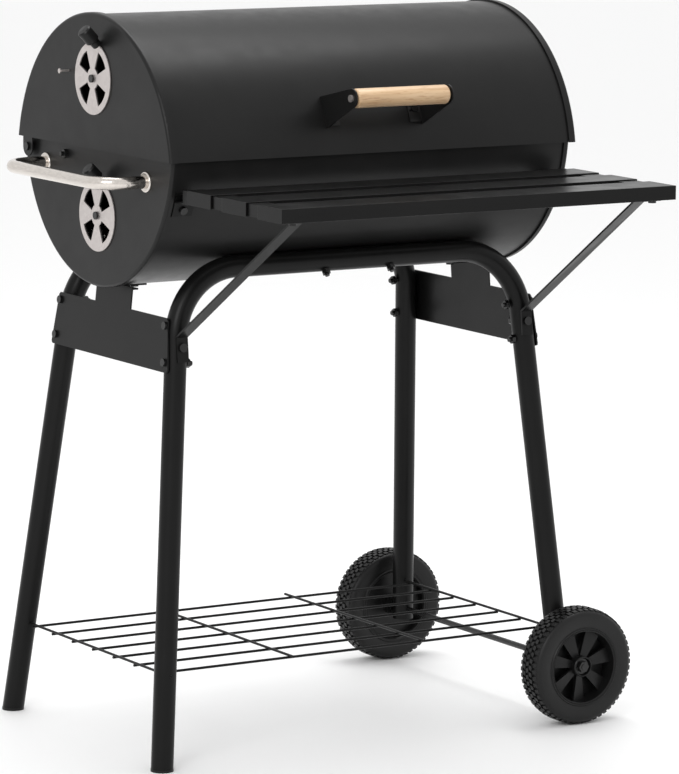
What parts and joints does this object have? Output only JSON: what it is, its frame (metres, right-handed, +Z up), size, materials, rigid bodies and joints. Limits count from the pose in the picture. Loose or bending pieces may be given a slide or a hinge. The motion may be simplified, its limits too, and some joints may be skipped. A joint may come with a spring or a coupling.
{
  "type": "barrel charcoal grill trolley",
  "caption": "Charcoal barrel grill with a hinged lid, round air vents, a slatted front shelf and a two-wheeled tube trolley",
  "frame": {"origin": "middle of the bounding box's underside, at floor level", "axes": "+Z up, +X towards the wheels, -Y towards the front shelf"},
  "size_m": [0.7302, 0.6794, 0.9195],
  "materials": {
    "enamel": "satin",
    "frame_paint": "satin",
    "wood_grip": "satin",
    "zinc": "satin",
    "polished": "polished",
    "wire_chrome": "polished",
    "dark_fixings": "satin",
    "sleeve_steel": "satin",
    "black_plastic": "matte",
    "tyre_black": "matte"
  },
  "bodies": {
    "stand": {"bowl_shell": "enamel", "bowl_cap_left": "enamel", "bowl_cap_right": "enamel", "bowl_cap_bolt": "dark_fixings", "hinge_bolts": "dark_fixings", "hinge_spacers": "dark_fixings", "lower_vent_screw": "dark_fixings", "side_handle": "polished", "side_handle_flanges": "polished", "side_handle_bolts": "dark_fixings", "grill_rails": "dark_fixings", "cooking_grate_left": "wire_chrome", "cooking_grate_right": "wire_chrome", "charcoal_grate": "wire_chrome", "shelf_slat_back": "frame_paint", "shelf_slat_middle": "frame_paint", "shelf_slat_front": "frame_paint", "shelf_crossbar_left": "frame_paint", "shelf_crossbar_right": "frame_paint", "shelf_brackets": "frame_paint", "shelf_brace_left": "frame_paint", "shelf_brace_right": "frame_paint", "shelf_screws": "dark_fixings", "shelf_bracket_bolts": "dark_fixings", "brace_bolts": "dark_fixings", "frame_tube_front_left": "frame_paint", "frame_tube_front_right": "frame_paint", "frame_tube_back_left": "frame_paint", "frame_tube_back_right": "frame_paint", "joint_sleeves": "sleeve_steel", "cradle_bolts": "dark_fixings", "foot_plugs": "black_plastic", "side_panel_left": "frame_paint", "side_panel_right": "frame_paint", "panel_bolts": "dark_fixings", "panel_tab_bolts": "dark_fixings", "wire_rack": "frame_paint", "axle": "dark_fixings", "axle_washers": "dark_fixings", "axle_nuts": "dark_fixings"},
    "lid": {"lid_shell": "enamel", "lid_cap_left": "enamel", "lid_cap_right": "enamel", "lid_bracket_left": "enamel", "lid_bracket_right": "enamel", "lid_grip": "wood_grip", "lid_grip_screws": "zinc", "lid_bracket_bolts": "dark_fixings", "lid_pin": "zinc", "upper_vent_screw": "dark_fixings"},
    "upper_vent": {"upper_vent_disc": "zinc", "upper_vent_knob": "black_plastic"},
    "lower_vent": {"lower_vent_disc": "zinc", "lower_vent_knob": "black_plastic"},
    "front_wheel": {"front_wheel_tyre": "tyre_black", "front_wheel_hub": "black_plastic"},
    "back_wheel": {"back_wheel_tyre": "tyre_black", "back_wheel_hub": "black_plastic"}
  },
  "joints": [
    {"name": "lid_hinge", "type": "hinge", "parent": "stand", "child": "lid", "pos_m": [-0.00209, 0.26275, 0.738], "axis": [-1, 0, 0], "range_deg": [0, 80]},
    {"name": "upper_vent_turn", "type": "hinge", "parent": "lid", "child": "upper_vent", "pos_m": [-0.30009, 0.08925, 0.838], "axis": [-1, 0, 0], "range_deg": [0, 45]},
    {"name": "lower_vent_turn", "type": "hinge", "parent": "stand", "child": "lower_vent", "pos_m": [-0.29359, 0.08925, 0.667], "axis": [-1, 0, 0], "range_deg": [0, 45]},
    {"name": "front_wheel_spin", "type": "hinge", "parent": "stand", "child": "front_wheel", "pos_m": [0.28909, -0.13275, 0.076], "axis": [0, 1, 0], "continuous": true},
    {"name": "back_wheel_spin", "type": "hinge", "parent": "stand", "child": "back_wheel", "pos_m": [0.28909, 0.31925, 0.076], "axis": [0, 1, 0], "continuous": true}
  ]
}
